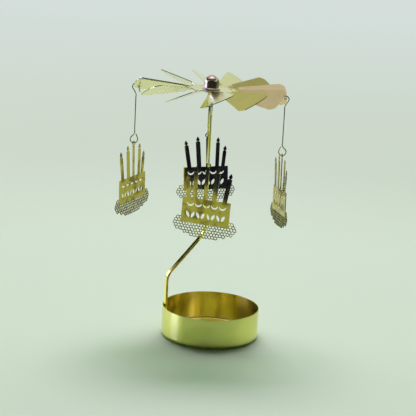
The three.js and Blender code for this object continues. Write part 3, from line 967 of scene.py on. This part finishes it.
def paper():
    """Pale paper. Away from the object, camera and reflection rays see it glow as a lit backdrop
    does, with painted light: lighter on the left, darker on the right and paler towards the back.
    Only reflections see its gloss, so it mirrors no card to the camera."""
    material = bpy.data.materials.new("pale_paper")
    material.use_nodes = True
    nodes, links = material.node_tree.nodes, material.node_tree.links
    polished = nodes["Principled BSDF"]
    matte = nodes.new("ShaderNodeBsdfPrincipled")
    for shader, gloss in ((polished, PAPER_GLOSS), (matte, 0.0)):
        shader.inputs["Base Color"].default_value = (*PAPER_COLOUR, 1.0)
        shader.inputs["Roughness"].default_value = PAPER_ROUGHNESS
        shader.inputs["Specular IOR Level"].default_value = gloss
    path = nodes.new("ShaderNodeLightPath")
    lit = mixed_shader(nodes, links, path.outputs["Is Camera Ray"], polished, matte)
    split = nodes.new("ShaderNodeSeparateXYZ")
    links.new(nodes.new("ShaderNodeTexCoord").outputs["Object"], split.inputs["Vector"])
    flat = nodes.new("ShaderNodeCombineXYZ")
    links.new(split.outputs["X"], flat.inputs["X"])
    links.new(split.outputs["Y"], flat.inputs["Y"])
    distance = nodes.new("ShaderNodeVectorMath")
    distance.operation = "LENGTH"
    links.new(flat.outputs["Vector"], distance.inputs[0])
    away = ranged(nodes, links, distance.outputs["Value"], NEAR_PAPER, FAR_PAPER, 0.0, 1.0)
    share = math_node(nodes, links, "MULTIPLY", away, seen_rays(nodes, links, path))
    # The far glow is painted light: it shifts from the left colour to the right one and towards the
    # back colour.
    across = ranged(nodes, links, split.outputs["X"], -0.5, 0.4, 0.0, 1.0)
    depth = ranged(nodes, links, split.outputs["Y"], 0.1, 1.4, 0.0, 1.0)
    colour = mixed_colour(nodes, links, across, PALE_LEFT, PALE_RIGHT)
    colour = mixed_colour(nodes, links, depth, colour, PALE_BACK)
    painted_backdrop_light = nodes.new("ShaderNodeEmission")
    links.new(colour, painted_backdrop_light.inputs["Color"])
    mix = mixed_shader(nodes, links, share, lit, painted_backdrop_light)
    links.new(mix.outputs[0], nodes["Material Output"].inputs["Surface"])
    return material


def make_bowl():
    """Flat paper that bends up all round."""
    profile = [(0.1, 0.0), (0.3, 0.0), (0.6, 0.0), (PAPER_FLAT, 0.0)]
    for i in range(1, 13):
        a = radians(7.0 * i)
        profile.append((PAPER_FLAT + PAPER_BEND * math.sin(a), PAPER_BEND * (1 - math.cos(a))))
    profile.append((profile[-1][0] + 0.06, PAPER_TOP))
    vertices = [(0.0, 0.0, 0.0)]
    for radius, height in profile:
        for i in range(PAPER_SIDES):
            a = 2 * math.pi * i / PAPER_SIDES
            vertices.append((radius * math.cos(a), radius * math.sin(a), height))
    faces = [(0, 1 + i, 1 + (i + 1) % PAPER_SIDES) for i in range(PAPER_SIDES)]
    for r in range(len(profile) - 1):
        for i in range(PAPER_SIDES):
            a, b = 1 + r * PAPER_SIDES + i, 1 + r * PAPER_SIDES + (i + 1) % PAPER_SIDES
            faces.append((a, a + PAPER_SIDES, b + PAPER_SIDES, b))
    stage_mesh("paper_bowl", vertices, faces, paper())


def make_card(name, vertices, colour, faces=None):
    """A card that only reflections see."""
    material = bpy.data.materials.new(name)
    material.use_nodes = True
    nodes, links = material.node_tree.nodes, material.node_tree.links
    glow = nodes.new("ShaderNodeEmission")
    glow.inputs["Color"].default_value = (*colour, 1.0)
    links.new(glow.outputs[0], nodes["Material Output"].inputs["Surface"])
    card = stage_mesh(name, vertices, faces or [tuple(range(len(vertices)))], material)
    card.visible_camera = False
    card.visible_diffuse = False
    card.visible_shadow = False
    return card


def make_bent_card(name, start, end, near, far, colour):
    vertices = []
    for radius, height in (near, far):
        for i in range(RING_STEPS + 1):
            a = radians(start + (end - start) * i / RING_STEPS)
            vertices.append((radius * math.cos(a), radius * math.sin(a), height))
    faces = [(i, i + 1, i + RING_STEPS + 2, i + RING_STEPS + 1) for i in range(RING_STEPS)]
    make_card(name, vertices, colour, faces)


def make_cards():
    # The front card keeps the floor's light off the camera's side too
    make_card("dark_card_front", FRONT_CARD, DARK).visible_diffuse = True
    for name, corners, colour in FLOOR_CARDS:
        make_card(name, [(x, y, CARD_LEVEL) for x, y in corners], colour)
    for card in BENT_CARDS:
        make_bent_card(*card)
    for name, corners, colour in WINDOW_CARDS:
        make_card(name, corners, colour)


def make_world():
    """A sky for reflections, bright behind and overhead. Diffuse rays get light from behind."""
    world = bpy.data.worlds.new("studio")
    bpy.context.scene.world = world
    world.use_nodes = True
    nodes, links = world.node_tree.nodes, world.node_tree.links
    split = nodes.new("ShaderNodeSeparateXYZ")
    links.new(nodes.new("ShaderNodeTexCoord").outputs["Generated"], split.inputs["Vector"])
    sky = nodes["Background"]
    ramp = nodes.new("ShaderNodeValToRGB")
    elements = ramp.color_ramp.elements
    while len(elements) < len(SKY):
        elements.new(0.5)
    for element, (place, colour) in zip(elements, SKY):
        element.position = place
        element.color = (*colour, 1.0)
    links.new(split.outputs["Z"], ramp.inputs["Fac"])
    links.new(ramp.outputs["Color"], sky.inputs["Color"])
    height = math_node(nodes, links, "MAXIMUM", split.outputs["Z"], 0.0)
    height = math_node(nodes, links, "POWER", height, 3.0)
    height = math_node(nodes, links, "MULTIPLY", height, SKY_OVERHEAD)
    behind = math_node(nodes, links, "ADD", split.outputs["Y"], height)
    links.new(ranged(nodes, links, behind, 0.05, 0.38, SKY_IN_FRONT, 1.0), sky.inputs["Strength"])
    ambient = nodes.new("ShaderNodeBackground")
    ambient.inputs["Color"].default_value = (*AMBIENT, 1.0)
    links.new(ranged(nodes, links, split.outputs["Y"], 0.15, 0.65, 0.0, AMBIENT_STRENGTH),
              ambient.inputs["Strength"])
    path = nodes.new("ShaderNodeLightPath")
    mix = mixed_shader(nodes, links, seen_rays(nodes, links, path), ambient, sky)
    links.new(mix.outputs[0], nodes["World Output"].inputs["Surface"])


def make_lamp():
    data = bpy.data.lights.new("softbox_behind", "AREA")
    data.shape = "RECTANGLE"
    data.size, data.size_y = LAMP_SIZE
    data.energy = LAMP_POWER
    data.color = LAMP_COLOUR
    lamp = bpy.data.objects.new("softbox_behind", data)
    bpy.context.scene.collection.objects.link(lamp)
    lamp.location = LAMP_PLACE
    lamp.rotation_mode = "QUATERNION"
    lamp.rotation_quaternion = (-Vector(LAMP_PLACE)).to_track_quat("-Z", "Y")
    lamp.visible_glossy = False


make_bowl()
make_world()
make_cards()
make_lamp()


# Camera: the photograph's view

FOCAL_PIXELS = 1479.9
IMAGE_PIXELS = 416
SENSOR_WIDTH = 36.0
DISTANCE = 624.33
ELEVATION = 13.931
ROLL = 2.945
TARGET_RIGHT = -3.29
TARGET_HEIGHT = 55.911
AZIMUTH = -1.056


def make_camera():
    e, a = radians(ELEVATION), radians(AZIMUTH)
    back = Vector((math.cos(e) * math.sin(a), -math.cos(e) * math.cos(a), math.sin(e)))
    right = Vector((math.cos(a), math.sin(a), 0))
    up = back.cross(right)
    target = right * TARGET_RIGHT + Vector((0, 0, TARGET_HEIGHT))
    c, s = math.cos(radians(ROLL)), math.sin(radians(ROLL))
    x_axis = right * c + up * s
    y_axis = up * c - right * s
    data = bpy.data.cameras.new("camera")
    data.sensor_width = SENSOR_WIDTH
    data.lens = SENSOR_WIDTH * FOCAL_PIXELS / IMAGE_PIXELS
    data.clip_start, data.clip_end = 0.01, 20.0
    camera = bpy.data.objects.new("camera", data)
    bpy.context.scene.collection.objects.link(camera)
    rotation = Matrix((x_axis, y_axis, back)).transposed().to_4x4()
    camera.matrix_world = Matrix.Translation((target + back * DISTANCE) * MM) @ rotation
    bpy.context.scene.camera = camera


make_camera()
bpy.context.scene.view_settings.view_transform = "Standard"

bpy.context.view_layer.update()
